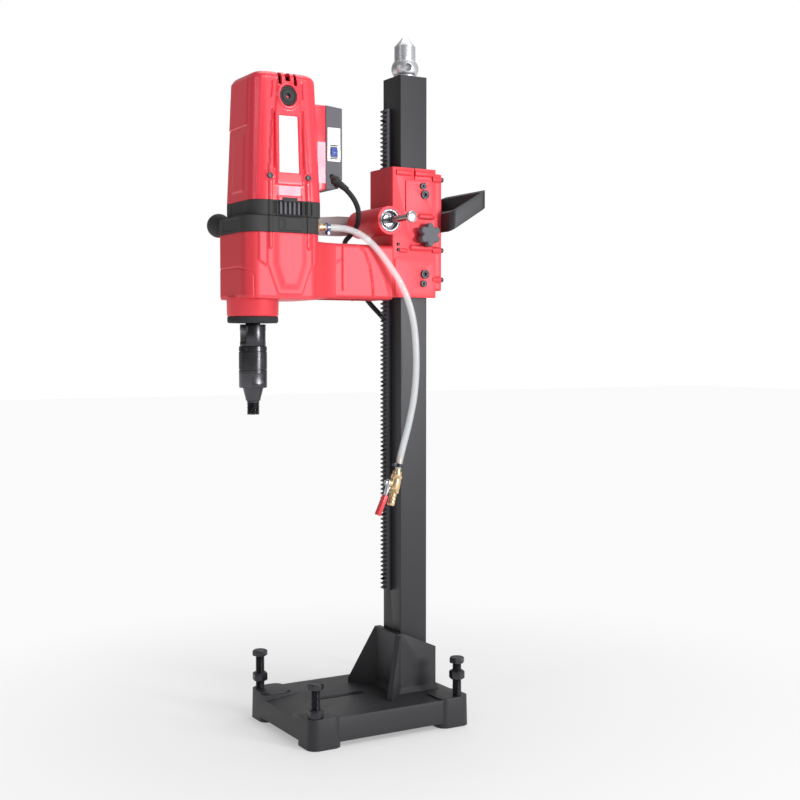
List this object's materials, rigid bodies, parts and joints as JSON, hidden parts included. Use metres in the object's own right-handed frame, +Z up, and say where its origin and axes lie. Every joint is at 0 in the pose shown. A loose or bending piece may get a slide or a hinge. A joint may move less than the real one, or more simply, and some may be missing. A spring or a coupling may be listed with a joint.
{
  "type": "core drill rig",
  "caption": "Column-mounted core drill: cast base with levelling screws, rack column, geared drill head on a carriage with feed lever, lock knob and water valve.",
  "frame": {"origin": "where the column's axis meets the floor, on the underside of the base casting", "axes": "+Z up along the column, -Y towards the drill head, X across, with X = 0 through the column and the spindle"},
  "size_m": [0.389, 0.5075, 1.231],
  "materials": {
    "red_casting": "glossy red paint over a casting",
    "red_shell": "glossy red moulded shell",
    "black_casting": "black gloss powder coat over cast iron",
    "black_tube": "black semi-gloss powder coat on steel tube",
    "black_plastic": "black moulded plastic",
    "grey_plastic": "dark grey moulded plastic",
    "black_steel": "blackened steel fasteners",
    "rack_steel": "dark oiled steel",
    "bright_steel": "bright turned steel",
    "zinc_steel": "bright zinc plate",
    "grey_lever": "grey painted forging",
    "brass": "turned brass",
    "bronze": "sintered bronze",
    "guide_polymer": "slide polymer",
    "copper_windings": "enamelled copper",
    "laminations": "stacked laminations",
    "carbon": "graphite",
    "clear_hose": "clear flexible PVC",
    "cord_rubber": "black rubber sheath",
    "red_sleeve": "red vinyl sleeve",
    "blue_rocker": "blue rocker",
    "white_plastic": "white moulded plastic",
    "label_film": "blank printed film",
    "seal_rubber": "black nitrile"
  },
  "bodies": {
    "stand": {"base_casting": "black_casting", "column_tube": "black_tube", "rack_bar": "rack_steel", "column_fasteners": "black_steel", "column_end_blocks": "black_steel", "levelling_lock_nuts": "black_steel", "mains_coil": "cord_rubber", "mains_plug": "cord_rubber", "mains_cord": "cord_rubber"},
    "jack": {"jack_screw": "zinc_steel"},
    "carriage": {"carriage_housing": "red_casting", "carriage_rear_plate": "red_casting", "carriage_bolts": "black_steel", "guide_pads": "guide_polymer", "gib_screws": "black_steel", "brake_shoe": "bronze", "carry_handle": "black_casting", "pinion_bushes": "bright_steel", "gearbox_arm": "red_casting", "gearbox_lid": "black_plastic", "vent_ring": "black_plastic", "motor_housing": "red_shell", "motor_top_cover": "red_shell", "motor_screws": "black_steel", "stator_core": "laminations", "field_coils": "copper_windings", "carbon_brushes": "carbon", "brush_caps": "grey_plastic", "motor_bearings": "bright_steel", "gearbox_bearings": "bright_steel", "seal_ring": "seal_rubber", "switch_box_base": "red_shell", "switch_box_cover": "grey_plastic", "breaker_module": "white_plastic", "cable_gland": "black_plastic", "blank_labels": "label_film", "water_nipple": "brass", "water_hose": "clear_hose"},
    "feed": {"pinion_shaft": "bright_steel", "feed_lever": "grey_lever", "feed_ball": "black_plastic"},
    "knob": {"lock_knob": "grey_plastic"},
    "armature": {"armature_shaft": "bright_steel", "armature_core": "laminations", "commutator": "copper_windings", "cooling_fan": "grey_plastic"},
    "lay": {"layshaft": "bright_steel", "layshaft_gear": "rack_steel"},
    "output": {"spindle": "rack_steel", "spindle_gear": "rack_steel", "bit_coupling": "bright_steel"},
    "rocker": {"breaker_rocker": "blue_rocker"},
    "valve": {"water_valve_body": "brass"},
    "tap": {"valve_ball": "bright_steel", "valve_lever": "zinc_steel", "lever_sleeve": "red_sleeve"},
    "leveller_front_right": {"levelling_screw_front_right": "black_steel"},
    "leveller_front_left": {"levelling_screw_front_left": "black_steel"},
    "leveller_rear_right": {"levelling_screw_rear_right": "black_steel"},
    "leveller_rear_left": {"levelling_screw_rear_left": "black_steel"}
  },
  "joints": [
    {"name": "carriage_slide", "type": "slide", "parent": "stand", "child": "carriage", "axis": [0, 0, 1], "range_m": [-0.49, 0.15], "deforming": ["mains_cord"]},
    {"name": "feed_turn", "type": "hinge", "parent": "carriage", "child": "feed", "pos_m": [0, -0.057, 0.897], "axis": [1, 0, 0], "range_deg": [-495, 1608]},
    {"name": "lock_knob_turn", "type": "hinge", "parent": "carriage", "child": "knob", "pos_m": [0.05, 0.02, 0.874], "axis": [1, 0, 0], "range_deg": [-180, 180]},
    {"name": "spindle_spin", "type": "hinge", "parent": "carriage", "child": "output", "pos_m": [0, -0.301, 0.64], "axis": [0, 0, 1], "continuous": true},
    {"name": "layshaft_spin", "type": "hinge", "parent": "carriage", "child": "lay", "pos_m": [-0.03173, -0.27349, 0.82], "axis": [0, 0, 1], "continuous": true},
    {"name": "armature_spin", "type": "hinge", "parent": "carriage", "child": "armature", "pos_m": [0, -0.262, 0.98], "axis": [0, 0, 1], "continuous": true},
    {"name": "rocker_tilt", "type": "hinge", "parent": "carriage", "child": "rocker", "pos_m": [0.0335, -0.1635, 1.009], "axis": [0, 1, 0], "range_deg": [0, 18]},
    {"name": "valve_drape", "type": "slide", "parent": "carriage", "child": "valve", "axis": [0, 0, 1], "range_m": [-0.0675, 0.2205], "deforming": ["water_hose"]},
    {"name": "tap_turn", "type": "hinge", "parent": "valve", "child": "tap", "pos_m": [0.06, -0.0558, 0.43072], "axis": [0, -0.9744, 0.225], "range_deg": [0, 90]},
    {"name": "jack_raise", "type": "slide", "parent": "stand", "child": "jack", "axis": [0, 0, 1], "range_m": [0, 0.05]},
    {"name": "level_front_right", "type": "slide", "parent": "stand", "child": "leveller_front_right", "axis": [0, 0, 1], "range_m": [-0.03, 0.02]},
    {"name": "level_front_left", "type": "slide", "parent": "stand", "child": "leveller_front_left", "axis": [0, 0, 1], "range_m": [-0.028, 0.02]},
    {"name": "level_rear_right", "type": "slide", "parent": "stand", "child": "leveller_rear_right", "axis": [0, 0, 1], "range_m": [-0.012, 0.02]},
    {"name": "level_rear_left", "type": "slide", "parent": "stand", "child": "leveller_rear_left", "axis": [0, 0, 1], "range_m": [-0.03, 0.02]}
  ],
  "couplings": [
    {"joint": "feed_turn", "follows": "carriage_slide", "rad_per_m": -57.143},
    {"joint": "valve_drape", "follows": "carriage_slide", "ratio": -0.45},
    {"joint": "armature_spin", "follows": "spindle_spin", "ratio": 11.727},
    {"joint": "layshaft_spin", "follows": "spindle_spin", "ratio": -3}
  ]
}
